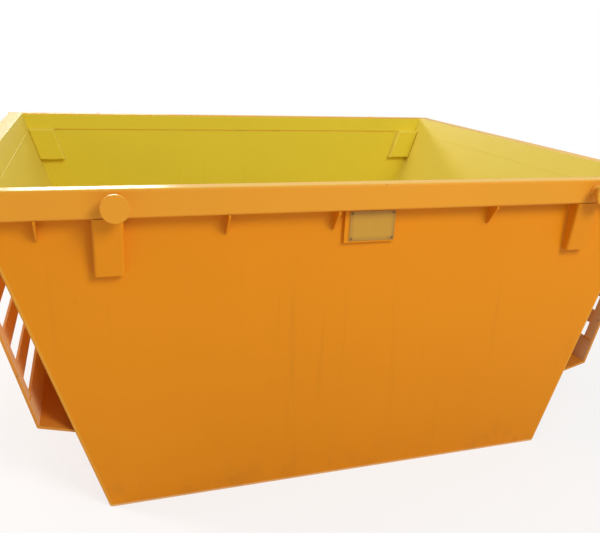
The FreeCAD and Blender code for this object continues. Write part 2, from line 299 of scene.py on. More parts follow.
class Shading:
    """The node tree of a material or of the world, in the making."""

    def __init__(self, owner, output):
        owner.use_nodes = True
        self.tree = owner.node_tree
        self.tree.nodes.clear()
        self.output = self.tree.nodes.new(output)

    def node(self, kind, settings=None, inputs=None, output=0):
        """Adds a node, sets it, feeds its sockets and returns one of its outputs."""
        node = self.tree.nodes.new(kind)
        for name, setting in (settings or {}).items():
            setattr(node, name, setting)
        for key, value in (inputs or {}).items():
            self.feed(node.inputs[key], value)
        return Value(self, node.outputs[output])

    def feed(self, socket, value):
        """Links a value to a socket, or sets the socket to a plain number or colour."""
        if isinstance(value, Value):
            self.tree.links.new(value.socket, socket)
        elif socket.type == "RGBA" and len(value) == 3:
            socket.default_value = (*value, 1.0)
        else:
            socket.default_value = value

    def close(self, surface):
        """Links a surface to the tree's output."""
        self.feed(self.output.inputs[0], surface)


class Finish(Shading):
    """A material in the making, with one Principled shader."""

    def __init__(self, name):
        self.material = bpy.data.materials.new(name)
        super().__init__(self.material, "ShaderNodeOutputMaterial")
        self.surface = self.node("ShaderNodeBsdfPrincipled")
        self.close(self.surface)
        self.point = self.node("ShaderNodeTexCoord", output="Object")
        self.x, self.y, self.z = (self.part(self.point, axis) for axis in "XYZ")

    def part(self, vector, axis):
        """One part of a vector."""
        return self.node("ShaderNodeSeparateXYZ", inputs={0: vector}, output=axis)

    def stretched(self, *shares):
        """The surface point with its X, Y and Z multiplied by shares."""
        settings = {"operation": "MULTIPLY"}
        return self.node("ShaderNodeVectorMath", settings, {0: self.point, 1: shares})

    def noise(self, scale, detail=2.0, rough=0.5, at=None):
        """Soft noise from 0 to 1 at a scale, per metre."""
        sockets = {
            "Vector": at or self.point, "Scale": scale, "Detail": detail, "Roughness": rough}
        return self.node("ShaderNodeTexNoise", inputs=sockets)

    def spots(self, scale, radius, blur):
        """One inside scattered round spots, else zero."""
        sockets = {"Vector": self.point, "Scale": scale}
        distance = self.node("ShaderNodeTexVoronoi", {"feature": "F1"}, sockets, "Distance")
        return distance.fall(radius * scale, (radius + blur) * scale)

    def facing_up(self):
        """How far the surface looks up, from -1 to 1."""
        return self.part(self.node("ShaderNodeNewGeometry", output="Normal"), "Z")

    def mix(self, share, first, second):
        """Colour between two colours."""
        settings = {"data_type": "RGBA"}
        return self.node("ShaderNodeMix", settings, {0: share, 6: first, 7: second}, 2)

    def shade(self, colour, amount):
        """A colour with its brightness multiplied by a value."""
        grey = self.node("ShaderNodeCombineColor", inputs={0: amount, 1: amount, 2: amount})
        settings = {"data_type": "RGBA", "blend_type": "MULTIPLY"}
        return self.node("ShaderNodeMix", settings, {0: 1.0, 6: colour, 7: grey}, 2)

    def bump(self, height, distance, under=None):
        """Normal of a surface raised by height times distance, over another bump."""
        sockets = {"Height": height, "Distance": distance}
        if under:
            sockets["Normal"] = under
        return self.node("ShaderNodeBump", inputs=sockets)

    def made(self, **sockets):
        """Feeds the shader's sockets, whose spaces are written as underscores."""
        shader = self.surface.socket.node
        for name, value in sockets.items():
            self.feed(shader.inputs[name.replace("_", " ")], value)
        return self.material


# Heights in metres between which a mark on the paint fades out upwards.
# SHADE_FADE is painted shade on the outside, darker towards the ground.
SHADE_FADE = (0.0, 0.75)
RUNS_FADE = (0.50, 0.95)
FOOT_FADE = (0.0, 0.16)
WELL_FADE = (0.03, 0.42)
FOLD_WEAR_FADE = (0.35, 0.8)
PALE_EDGE_FADE = (4 * MM, 9 * MM)
RACK_GRIME_FADE = (0.30, 0.75)
RACK_SEAM_FADE = (0.86, 0.90)

# Shares of its own colour that a mark brings where it is strongest. The rim is painted paler, the
# sheets' folds get a painted highlight that is the fold gain times as strong, and all dirt
# together stays under DIRT_LIMIT.
RIM_PALE_AND_FOLD_HIGHLIGHT_SHARE = 0.16
FOLD_HIGHLIGHT_GAIN = 1.3
RUNS_SHARE = 0.12
FOOT_SHARE = 0.20
BLOTS_SHARE = 0.10
DIRT_LIMIT = 0.8
RACK_GRIME_SHARE = 0.28
RACK_SCUFF_SHARE = 0.3
SOOT_SHARE = 0.25

# Heights of the relief in the paint.
SWELL = 5.0 * MM
ORANGE_PEEL = 0.06 * MM
CHIP_DEPTH = 0.25 * MM
RACK_GRAIN = 0.10 * MM
SPATTER = 0.35 * MM


def ground_reach(paint):
    """How far out a plane through the point, leaning as the end walls do, meets the ground."""
    return abs(paint.x) - paint.z * PLACES.wall.slope


def inside_share(paint):
    """One on the surfaces that look into the bin, else zero."""
    wall_middle = PLACES.wall.x(0, PLACES.wall.thickness / 2)
    across = abs(paint.y).math("LESS_THAN", PLACES.sheet_inside + MM)
    along = ground_reach(paint).math("LESS_THAN", wall_middle)
    over_floor = paint.z.math("GREATER_THAN", PLACES.floor_top - MM)
    return across * along * over_floor


def fold_share(paint, width):
    """One along the side sheets' sloping folds, else zero."""
    wall = PLACES.wall.x(0)
    strip = ground_reach(paint).rise(wall - width, wall - width / 2)
    strip *= paint.z.fall(PLACES.rim_underside - MM, PLACES.rim_underside)
    return strip * abs(paint.y).rise(PLACES.return_edge - MM, PLACES.return_edge)


def edge_share(paint, width):
    """Rises to one towards the rim's outer edges, the sheets' folds and the ground."""
    top = paint.z.rise(PLACES.rim_top - width, PLACES.rim_top)
    front = abs(paint.y).rise(PLACES.rim_front - width, PLACES.rim_front)
    end = abs(paint.x).rise(PLACES.rim_end - width, PLACES.rim_end)
    wall = PLACES.wall.x(0)
    fold = ground_reach(paint).rise(wall - width, wall) * paint.z.fall(*FOLD_WEAR_FADE)
    ground = paint.z.fall(0.0, 1.5 * width)
    return (top * front + top * end + fold * 0.7 + ground * 0.8).most(1.0)


def rack_share(paint):
    """One on the seams that stand off the end walls, on the racks, else zero."""
    wall = PLACES.wall.x(0)
    off_wall = ground_reach(paint).rise(wall + 6 * MM, wall + 12 * MM)
    return off_wall * paint.z.fall(*RACK_SEAM_FADE)


def clean_bin_colour(paint, settings, clouds, inside):
    """Paint that is paler on the rim and along the lower edge, with a painted highlight along the
    folds and painted shade that darkens the outside towards the ground.
    """
    # The yellower inside colour is painted reflection and bounce light.
    colour = paint.mix(inside, settings.outside_colour, settings.inside_sky_tinted_colour)
    # Paler rim, and a painted highlight along the sloping folds.
    rim = paint.z.rise(PLACES.rim_underside - MM, PLACES.rim_underside + MM)
    rim_pale_and_fold_highlight = (rim + fold_share(paint, 8 * MM) * FOLD_HIGHLIGHT_GAIN) * (1 - inside) * RIM_PALE_AND_FOLD_HIGHLIGHT_SHARE
    colour = paint.mix(rim_pale_and_fold_highlight, colour, settings.rim_pale_and_fold_highlight_colour)
    # Paler along the lowest few millimetres of the sheets.
    pale_lower_edge = paint.z.fall(*PALE_EDGE_FADE) * (0.35 + clouds * 0.5)
    colour = paint.mix(pale_lower_edge, colour, settings.painted_light_and_edge_colour)
    # Painted shade: the outside is darkened towards the ground.
    shade = paint.z.fall(*SHADE_FADE) * (1 - inside) * 0.08
    return paint.shade(colour, 0.96 + clouds * 0.10 - shade)


def bin_dirt(paint, clouds, inside):
    """Runs down the sheets, dirt near the ground, grime deep inside and a few blots."""
    upright = paint.noise(1.0, 4.0, 0.6, paint.stretched(26, 26, 1.1))
    runs = upright.rise(0.56, 0.80) * paint.z.fall(*RUNS_FADE) * RUNS_SHARE
    foot = paint.z.fall(*FOOT_FADE) * paint.noise(9, 5.0, 0.7).rise(0.42, 0.75) * FOOT_SHARE
    well = inside * paint.z.fall(*WELL_FADE) * (0.30 + clouds * 0.7)
    patches = paint.noise(2.3, 1.0).rise(0.54, 0.66)
    blots = paint.spots(4.0, 6 * MM, 9 * MM) * patches * BLOTS_SHARE
    return (runs + foot + well + blots).most(DIRT_LIMIT)


def bin_chips(paint, wear, specks):
    """One in the chips, which are most frequent along the edges, else zero."""
    edges = edge_share(paint, 11 * MM) * wear * 0.32
    return (edges + paint.noise(38, 5.0, 0.72) * 0.7 + specks * 0.3).rise(0.735, 0.750)


def bin_paint(settings):
    """Satin orange paint with a little of the yard's dirt and wear on it. Its yellower inside is
    painted reflection and bounce light, the paler sloping inner walls are painted light, and the
    tops carry dust with a painted highlight.
    """
    paint = Finish("painted_bin")
    clouds = paint.noise(1.7, 3.0, 0.55)
    specks = paint.noise(95, 4.0, 0.65)
    inside = inside_share(paint)
    colour = clean_bin_colour(paint, settings, clouds, inside)
    dirt = bin_dirt(paint, clouds, inside)
    colour = paint.mix(dirt, colour, settings.grime_colour)
    upward = paint.facing_up()
    # Painted light: the inner faces that slope up, the end walls, are made paler.
    painted_lightening = upward.rise(0.15, 0.28) * upward.fall(0.4, 0.8) * inside * (0.10 + clouds * 0.12)
    colour = paint.mix(painted_lightening, colour, settings.painted_light_and_edge_colour)
    # Dust with painted top light: the faces that look up are made paler and yellower.
    level = upward.rise(0.6, 0.95)
    dust_and_top_light = level * (0.28 + paint.noise(14, 4.0, 0.6) * 0.25)
    colour = paint.mix(dust_and_top_light, colour, settings.dust_and_top_light_colour)
    chips = bin_chips(paint, settings.wear, specks)
    colour = paint.mix(chips, colour, settings.primer_colour)
    rough = (settings.roughness + specks * 0.10 + dust_and_top_light * 0.9 + chips * 0.3 + dirt * 0.3).most(0.9)
    swell = paint.bump(paint.noise(3.1, 1.0), SWELL)
    peel = paint.bump(paint.noise(420, 1.0), ORANGE_PEEL, swell)
    flaked = paint.bump(1 - chips, CHIP_DEPTH, peel)
    return paint.made(
        Base_Color=colour, Roughness=rough, Normal=flaked, Specular_IOR_Level=0.12,
        Coat_Weight=(level * 0.36 + inside * 0.05).most(0.5), Coat_Roughness=0.24)


def rack_paint(settings):
    """Duller paint, scratched and chipped by loads and tippers, with painted light that makes the
    faces sloping up paler.
    """
    paint = Finish("painted_rack")
    clouds = paint.noise(5.5, 4.0, 0.6)
    patches = clouds.rise(0.40, 0.62) * 0.4
    colour = paint.mix(patches, settings.rack_colour, settings.outside_colour)
    grime = paint.z.fall(*RACK_GRIME_FADE) * RACK_GRIME_SHARE
    colour = paint.mix(grime, colour, settings.grime_colour)
    upward = paint.facing_up()
    # Painted light: faces that slope up, the slats' inner faces, are made paler.
    painted_lightening = upward.rise(0.05, 0.25) * upward.fall(0.6, 0.95) * (0.55 + clouds * 0.4)
    colour = paint.mix(painted_lightening, colour, settings.painted_light_and_edge_colour)
    scratches = paint.noise(1.0, 4.0, 0.7, paint.stretched(60, 7, 130)).rise(0.60, 0.68)
    scuffs = scratches * paint.noise(3.0, 2.0).rise(0.45, 0.60) * RACK_SCUFF_SHARE
    chips = paint.noise(44, 5.0, 0.7).rise(0.66, 0.69)
    bare = (scuffs + chips).most(1.0)
    colour = paint.mix(bare, colour, settings.primer_colour)
    grain = paint.bump(paint.noise(240, 2.0), RACK_GRAIN)
    flaked = paint.bump(1 - bare, CHIP_DEPTH, grain)
    rough = 0.52 + clouds * 0.15 + bare * 0.12
    return paint.made(Base_Color=colour, Roughness=rough, Normal=flaked, Specular_IOR_Level=0.3)


def seam_paint(settings):
    """Paint over the weld seams, a little darker where spatter and soot were painted over."""
    paint = Finish("painted_seam")
    tone = paint.noise(60, 3.0, 0.6)
    # Seams inside take the yellower inside colour, which is painted reflection and bounce light.
    colour = paint.mix(inside_share(paint), settings.outside_colour, settings.inside_sky_tinted_colour)
    colour = paint.mix(rack_share(paint), colour, settings.rack_colour)
    colour = paint.shade(colour, 0.88 + tone * 0.20)
    soot = paint.noise(11, 3.0, 0.6).rise(0.55, 0.75) * SOOT_SHARE
    colour = paint.mix(soot, colour, settings.grime_colour)
    spatter = paint.bump(paint.noise(330, 3.0, 0.7), SPATTER)
    rough = 0.42 + tone * 0.18
    return paint.made(Base_Color=colour, Roughness=rough, Normal=spatter, Specular_IOR_Level=0.3)


def plate_finish(settings, grime_colour):
    """Pale satin face of the bare plate, rubbed in the middle and darker round its border with
    dirt and painted shade from its holder.
    """
    face = Finish("bare_plate")
    low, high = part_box("data_plate")
    middle = (low + high) / 2
    size = high - low
    brushed = face.noise(1.0, 3.0, 0.6, face.stretched(18, 400, 900))
    cloud = face.noise(34, 4.0, 0.6)
    colour = face.shade(settings.plate_colour, 0.86 + brushed * 0.12 + cloud * 0.08)
    # Darker round the border: dirt, and painted shade where the holder shades the plate's edges.
    ends = abs(face.x - middle.x).rise(size.x * 0.38, size.x * 0.5)
    sills = abs(face.z - middle.z).rise(size.z * 0.32, size.z * 0.5)
    rubbed = cloud.rise(0.60, 0.74) * 0.30
    dirt = ((ends + sills) * (0.15 + cloud * 0.45) + rubbed).most(0.7)
    colour = face.mix(dirt, colour, grime_colour)
    return face.made(
        Base_Color=colour, Roughness=0.36 + cloud * 0.2, Normal=face.bump(brushed, 0.04 * MM))


def rivet_finish(settings):
    """Dull rivet metal."""
    metal = Finish("dull_rivet")
    tone = metal.noise(700, 3.0, 0.6)
    return metal.made(
        Base_Color=metal.shade(settings.rivet_colour, 0.82 + tone * 0.3), Metallic=0.85,
        Roughness=0.34 + tone * 0.2, Normal=metal.bump(tone, 0.05 * MM))


# The studio floor: its radius, the distances from the bin between which it turns to plain white,
# and the share of white that the camera sees on the nearer part.
FLOOR_RADIUS = 40.0
FLOOR_SIDES = 96
FLOOR_FADE = (1.9, 3.8)
FLOOR_WHITE = 0.72


def floor_finish(settings):
    """Pale matt floor that takes a soft shadow and turns to plain white away from the bin."""
    pale = Finish("studio_floor")
    tone = pale.noise(5.0, 3.0)
    colour = pale.shade(settings.floor_colour, 0.99 + tone * 0.02)
    grain = pale.bump(pale.noise(160, 2.0), 0.1 * MM)
    rough = 0.85 + tone * 0.05
    pale.made(Base_Color=colour, Roughness=rough, Specular_IOR_Level=0.1, Normal=grain)
    white = pale.node("ShaderNodeEmission", inputs={"Color": (1, 1, 1)})
    away = (pale.x * pale.x + pale.y * pale.y).math("SQRT").rise(*FLOOR_FADE)
    seen = pale.node("ShaderNodeLightPath", output="Is Camera Ray")
    share = (away + FLOOR_WHITE).most(1.0) * seen
    pale.close(pale.node("ShaderNodeMixShader", inputs={0: share, 1: pale.surface, 2: white}))
    return pale.material


def material_named(name, make, *settings):
    """The material of that name, made on first use."""
    return bpy.data.materials.get(name) or make(*settings)


def paint_nodes(material, *words):
    """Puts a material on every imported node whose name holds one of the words."""
    nodes = [node for name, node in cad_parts.items() if any(word in name for word in words)]
    if not nodes:
        raise RuntimeError("no packed piece is named " + ", ".join(words))
    for node in nodes:
        for slot in node.material_slots:
            slot.material = material


def as_piece(name, bm, material, smooth):
    """Turns a finished bmesh into a piece that rides on the bin."""
    mesh = bpy.data.meshes.new(name)
    bm.to_mesh(mesh)
    bm.free()
    mesh.materials.append(material)
    if smooth:
        mesh.shade_smooth()
    else:
        mesh.shade_flat()
    piece = bpy.data.objects.new(name, mesh)
    bpy.context.scene.collection.objects.link(piece)
    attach(piece, BODY)
    return piece


# Shape of a bead, in shares of its radius: how deep its ripples are, how thick it is at its
# ends, and how much it gains from there over each ripple.
RIPPLE_DEPTH = 0.16
BEAD_END = 0.35
BEAD_GAIN = 0.9


class SeamRun:
    """Weld seams that are laid one by one and become one piece."""

    def __init__(self, settings):
        self.bm = bmesh.new()
        self.settings = settings

    def bead(self, length, radius):
        """One straight rippled bead about Z, thin at both ends, as its own bmesh."""
        steps = max(2, round(length / self.settings.ripple))
        bead = bmesh.new()
        bmesh.ops.create_cone(
            bead, cap_ends=True, segments=self.settings.sides, radius1=radius, radius2=radius,
            depth=length)
        upright = [e for e in bead.edges if abs(e.verts[0].co.z - e.verts[1].co.z) > length / 2]
        bmesh.ops.subdivide_edges(bead, edges=upright, cuts=2 * steps - 1)
        for vertex in bead.verts:
            along = (vertex.co.z / length + 0.5) * steps
            ripple = 1 - RIPPLE_DEPTH + RIPPLE_DEPTH * abs(math.cos(math.pi * along))
            taper = min(1.0, BEAD_END + BEAD_GAIN * min(along, steps - along))
            vertex.co.xy *= ripple * taper
        return bead

    def add(self, bead):
        """Joins a bead to the run."""
        mesh = bpy.data.meshes.new("bead")
        bead.to_mesh(mesh)
        bead.free()
        self.bm.from_mesh(mesh)
        bpy.data.meshes.remove(mesh)

    def lay(self, start, end, radius):
        """Lays one straight seam between two points."""
        start, end = Vector(start), Vector(end)
        bead = self.bead((end - start).length, radius)
        turn = (end - start).to_track_quat("Z", "X").to_matrix().to_4x4()
        place = Matrix.Translation((start + end) / 2) @ turn
        bmesh.ops.transform(bead, matrix=place, verts=bead.verts)
        self.add(bead)

    def lay_round(self, centre, ring_radius, radius):
        """Lays a closed seam round a pin that points along Y."""
        length = 2 * math.pi * ring_radius
        bead = self.bead(length, radius)
        for vertex in bead.verts:
            angle = 2 * math.pi * vertex.co.z / length
            reach = ring_radius + vertex.co.x
            turned = Vector((reach * math.cos(angle), vertex.co.y, reach * math.sin(angle)))
            vertex.co = Vector(centre) + turned
        self.add(bead)

    def mirror(self, axis):
        """Repeats every seam so far at the other end, X, or the other side, Y."""
        everything = self.bm.verts[:] + self.bm.edges[:] + self.bm.faces[:]
        bmesh.ops.mirror(self.bm, geom=everything, matrix=Matrix(), merge_dist=0.0, axis=axis)

    def made(self, name, slot):
        """Closes the run as a piece in seam paint."""
        bmesh.ops.recalc_face_normals(self.bm, faces=self.bm.faces)
        material = material_named("painted_seam", seam_paint, bpy.context.scene.skip_paint)
        return as_piece(name, self.bm, material, smooth=True)


# Radius of the seams on gussets and rack bars, as a share of a flush seam's radius.
BAR_SEAM = 1.4

# How many of its tacks the plate's holder is high.
TACKS_HIGH = 6

RACK_BARS = ("slat_1", "slat_2", "slat_3", "slat_4", "head_bar")


class SkipOperator:
    """Common part of the operators."""

    bl_options = {"REGISTER", "UNDO"}


class SKIPBIN_OT_paint_shell(SkipOperator, bpy.types.Operator):
    """Paint the sheets, the rim, the gussets, the plate's holder and the runners"""

    bl_idname = "skipbin.paint_shell"
    bl_label = "Paint shell"

    def execute(self, context):
        paint = material_named("painted_bin", bin_paint, context.scene.skip_paint)
        paint_nodes(paint, "panel", "floor_plate", "_rim_", "plate_holder", "_runner")
        return {"FINISHED"}


class SKIPBIN_OT_paint_lugs(SkipOperator, bpy.types.Operator):
    """Paint the lifting lugs, their brackets and the blocks inside the corners"""

    bl_idname = "skipbin.paint_lugs"
    bl_label = "Paint lugs"

    def execute(self, context):
        paint = material_named("painted_bin", bin_paint, context.scene.skip_paint)
        paint_nodes(paint, "_lug_", "_corner_block")
        return {"FINISHED"}


class SKIPBIN_OT_paint_racks(SkipOperator, bpy.types.Operator):
    """Paint the tipping racks"""

    bl_idname = "skipbin.paint_racks"
    bl_label = "Paint racks"

    def execute(self, context):
        paint_nodes(material_named("painted_rack", rack_paint, context.scene.skip_paint), "_rack_")
        return {"FINISHED"}


class SKIPBIN_OT_weld_shell(SkipOperator, bpy.types.Operator):
    """Lay the seams between the sheets, the floor and the rim"""

    bl_idname = "skipbin.weld_shell"
    bl_label = "Weld shell"

    def execute(self, context):
        sizes = context.scene.skip_weld
        wall, sheet = PLACES.wall, PLACES.wall.thickness
        under, floor = PLACES.rim_underside, PLACES.floor_top
        run = SeamRun(sizes)
        for low, side, behind in (
                (PLACES.floor_underside, PLACES.return_edge, 0.0),
                (floor, PLACES.sheet_inside, sheet)):
            start = (wall.x(low, behind), -side, low)
            run.lay(start, (wall.x(under, behind), -side, under), sizes.long_radius)
        self.weld_rim_corner(run, sizes)
        run.mirror("X")
        for side, height, radius in (
                (PLACES.sheet_outside, under, sizes.long_radius),
                (PLACES.sheet_inside, under, sizes.flush_radius),
                (PLACES.sheet_inside, floor, sizes.long_radius)):
            reach = wall.x(height, sheet)
            run.lay((-reach, -side, height), (reach, -side, height), radius)
        run.mirror("Y")
        run.made("shell_seams", "orange_paint")
        self.weld_ends(sizes)
        return {"FINISHED"}

    def weld_rim_corner(self, run, sizes):
        """Seams where an end tube butts against a side tube, on top and below."""
        radius = sizes.long_radius
        inset = radius + MM
        side = PLACES.sheet_inside + radius - MM
        height = PLACES.rim_top - inset
        start = (PLACES.wall.x(height, PLACES.wall.thickness), -side, height)
        run.lay(start, (PLACES.rim_end - inset, -side, height), radius)
        side, under = PLACES.sheet_inside, PLACES.rim_underside
        start = (PLACES.wall.x(under), -side, under)
        run.lay(start, (PLACES.rim_end - 2 * inset, -side, under), sizes.short_radius)

    def weld_ends(self, sizes):
        """Seams along both end walls."""
        wall, sheet = PLACES.wall, PLACES.wall.thickness
        under, floor = PLACES.rim_underside, PLACES.floor_top
        run = SeamRun(sizes)
        reach = PLACES.sheet_inside
        for x, height, radius in (
                (wall.x(under), under, sizes.short_radius),
                (wall.x(under, sheet), under, sizes.flush_radius),
                (wall.x(floor, sheet), floor, sizes.long_radius)):
            run.lay((x, -reach, height), (x, reach, height), radius)
        run.mirror("X")
        run.made("end_seams", "orange_paint")


class SKIPBIN_OT_weld_lugs(SkipOperator, bpy.types.Operator):
    """Lay the seams round the lugs, their brackets and the corner blocks"""

    bl_idname = "skipbin.weld_lugs"
    bl_label = "Weld lugs"

    def execute(self, context):
        sizes = context.scene.skip_weld
        run = SeamRun(sizes)
        for side in ("left", "right"):
            self.weld_bracket(run, side, sizes.short_radius)
            self.weld_pin(run, side, sizes.short_radius)
        run.mirror("Y")
        run.made("lug_seams", "orange_paint")
        self.weld_blocks(sizes)
        return {"FINISHED"}

    def weld_bracket(self, run, side, radius):
        """Seams at a bracket's sides, foot and head."""
        low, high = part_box("front_%s_lug_bracket" % side)
        face = -PLACES.sheet_outside
        nose = low.y + 3 * radius
        for x in (low.x, high.x):
            run.lay((x, face, low.z), (x, face, high.z), radius)
            run.lay((x, face, high.z), (x, nose, high.z), radius)
        run.lay((low.x, face, low.z), (high.x, face, low.z), radius)

    def weld_pin(self, run, side, radius):
        """Seam round a pin's foot on the rim."""
        low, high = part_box("front_%s_lug_pin" % side)
        centre = (low + high) / 2
        ring_radius = (high.x - low.x) / 2 - radius
        run.lay_round((centre.x, -PLACES.rim_front - radius / 2, centre.z), ring_radius, radius)

    def weld_blocks(self, sizes):
        """Seams round the blocks inside the four corners."""
        low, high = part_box("front_right_corner_block")
        lean = (high.z - low.z) * PLACES.wall.slope
        width = high.x - low.x - lean
        face = -PLACES.sheet_inside
        corners = [
            (low.x, low.z), (low.x + lean, high.z), (high.x, high.z), (low.x + width, low.z)]
        run = SeamRun(sizes)
        for start, end in zip(corners, corners[1:] + corners[:1]):
            run.lay((start[0], face, start[1]), (end[0], face, end[1]), sizes.short_radius)
        run.mirror("X")
        run.mirror("Y")
        run.made("block_seams", "orange_paint")


class SKIPBIN_OT_weld_gussets(SkipOperator, bpy.types.Operator):
    """Lay the seams of the gussets and of the plate's holder"""

    bl_idname = "skipbin.weld_gussets"
    bl_label = "Weld gussets"

    def execute(self, context):
        sizes = context.scene.skip_weld
        radius = sizes.flush_radius * BAR_SEAM
        run = SeamRun(sizes)
        low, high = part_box("front_rim_gussets")
        face = -PLACES.sheet_outside
        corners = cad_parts["front_rim_gussets"].data.vertices
        for x in sorted({round(corner.co.x, 4) for corner in corners}):
            run.lay((x, face, low.z), (x, face, high.z), radius)
            run.lay((x, face, high.z), (x, low.y + radius, high.z), radius)
        run.mirror("Y")
        low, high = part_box("plate_holder")
        tack = (high.z - low.z) / TACKS_HIGH
        for x in (low.x, high.x):
            for z in (low.z + tack, high.z - 2 * tack):
                run.lay((x, face, z), (x, face, z + tack), radius)
        run.made("gusset_seams", "orange_paint")
        return {"FINISHED"}


class SKIPBIN_OT_weld_racks(SkipOperator, bpy.types.Operator):
    """Lay the seams of the tipping racks"""

    bl_idname = "skipbin.weld_racks"
    bl_label = "Weld racks"

    def execute(self, context):
        sizes = context.scene.skip_weld
        run = SeamRun(sizes)
        self.weld_bars(run, sizes.flush_radius * BAR_SEAM)
        self.weld_stringer(run, sizes.short_radius)
        run.mirror("Y")
        self.weld_shelf(run, sizes.long_radius)
        self.weld_web(run, sizes.short_radius)
        run.mirror("X")
        run.made("rack_seams", "rack_paint")
        return {"FINISHED"}

    def weld_bars(self, run, radius):
        """Seams where the slats and the head bar meet a stringer, on both faces."""
        rack, plate = PLACES.rack, PLACES.rack.thickness
        side = -PLACES.stringer_edge
        for name in RACK_BARS:
            low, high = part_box("right_rack_" + name)
            top = min(rack.height(high.x), PLACES.rim_underside)
            run.lay((rack.x(low.z), side, low.z), (rack.x(top), side, top), radius)
            foot = low.z + plate * rack.sine
            start = (rack.x(foot, plate), side, foot)
            run.lay(start, (rack.x(high.z, plate), side, high.z), radius)

    def weld_stringer(self, run, radius):
        """Seams at a stringer's foot and head, on both faces."""
        rack = PLACES.rack
        for height in (rack.low, rack.high):
            for behind in (0.0, PLACES.rack.thickness):
                x = rack.x(height, behind)
                start = (x, -PLACES.rack_edge + radius, height)
                run.lay(start, (x, -PLACES.stringer_edge, height), radius)

    def weld_shelf(self, run, radius):
        """Seams between the shelf and the end wall, above and below."""
        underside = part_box("right_rack_shelf")[0].z
        reach = PLACES.rack_edge
        for height in (underside, underside + PLACES.rack.thickness):
            x = PLACES.wall.x(height)
            run.lay((x, -reach, height), (x, reach, height), radius)

    def weld_web(self, run, radius):
        """Seams of the web on the end wall and on the backs of the rack's bars."""
        low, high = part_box("right_rack_web")
        wall, rack, plate = PLACES.wall, PLACES.rack, PLACES.rack.thickness
        for y in (low.y, high.y):
            foot = low.z + radius
            run.lay((wall.x(foot), y, foot), (wall.x(high.z), y, high.z), radius)
            for name in RACK_BARS:
                bar_low, bar_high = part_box("right_rack_" + name)
                start = bar_low.z + plate * rack.sine
                end = (rack.x(bar_high.z, plate), y, bar_high.z)
                run.lay((rack.x(start, plate), y, start), end, radius)


class SKIPBIN_OT_weld_runners(SkipOperator, bpy.types.Operator):
    """Lay the seams between the runners, the floor and the side sheets"""

    bl_idname = "skipbin.weld_runners"
    bl_label = "Weld runners"

    def execute(self, context):
        sizes = context.scene.skip_weld
        run = SeamRun(sizes)
        height = PLACES.floor_underside
        for name in ("front_runner", "middle_runner", "rear_runner"):
            low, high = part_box(name)
            for y in (low.y, high.y):
                run.lay((low.x, y, height), (high.x, y, height), sizes.short_radius)
        reach = PLACES.wall.x(height)
        for y in (-PLACES.sheet_inside, PLACES.sheet_inside):
            run.lay((-reach, y, height), (reach, y, height), sizes.short_radius)
        run.made("runner_seams", "orange_paint")
        return {"FINISHED"}


# The plate: sides of a round corner, the small step round its edge, and the width of the
# slope from its raised border down to the field.
CORNER_SIDES = 5
EDGE_STEP = 0.3 * MM
BORDER_SLOPE = 0.5 * MM

# Half section of a pulled rivet from its edge to its middle, in shares of radius and height,
# and the sides that it is spun to.
RIVET_SECTION = (
    (1.00, 0.00), (1.00, 0.25), (0.90, 0.58), (0.66, 0.86), (0.42, 1.00), (0.30, 0.94),
    (0.28, 0.62), (0.20, 0.60), (0.16, 0.72), (0.00, 0.76))
RIVET_SIDES = 16


